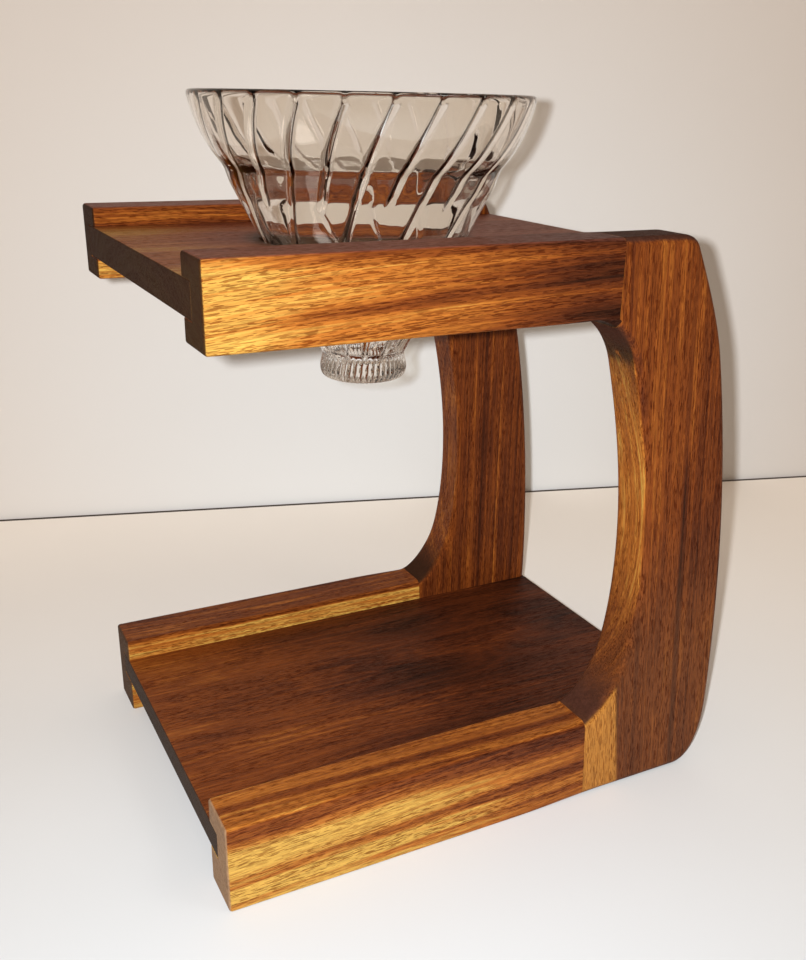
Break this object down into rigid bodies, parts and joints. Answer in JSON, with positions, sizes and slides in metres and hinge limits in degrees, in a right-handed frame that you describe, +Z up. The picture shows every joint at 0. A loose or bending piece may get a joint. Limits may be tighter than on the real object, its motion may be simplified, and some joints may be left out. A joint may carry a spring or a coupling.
{
  "type": "pour over coffee dripper",
  "caption": "Pour over coffee dripper: a ribbed glass cone that lifts out of an open-fronted C-shaped walnut stand, with room under its outlet for a mug.",
  "frame": {"origin": "on the table, under the centre of the object's bounding box", "axes": "+Z up, the open front faces -Y, +X is to the right of a person facing the open front"},
  "size_m": [0.1562, 0.2028, 0.2547],
  "materials": {
    "walnut": "oiled satin",
    "dowel_wood": "bare",
    "glass": "clear, polished"
  },
  "bodies": {
    "stand": {"right_top_rail": "walnut", "right_upright": "walnut", "right_base_rail": "walnut", "left_top_rail": "walnut", "left_upright": "walnut", "left_base_rail": "walnut", "top_shelf": "walnut", "base_board": "walnut", "right_top_dowel_upper": "dowel_wood", "right_top_dowel_lower": "dowel_wood", "right_base_dowel_upper": "dowel_wood", "right_base_dowel_lower": "dowel_wood", "left_top_dowel_upper": "dowel_wood", "left_top_dowel_lower": "dowel_wood", "left_base_dowel_upper": "dowel_wood", "left_base_dowel_lower": "dowel_wood"},
    "dripper": {"glass_cone": "glass"}
  },
  "joints": [
    {"name": "dripper_lift", "type": "slide", "parent": "stand", "child": "dripper", "axis": [0, 0, 1], "range_m": [0, 0.06]}
  ]
}
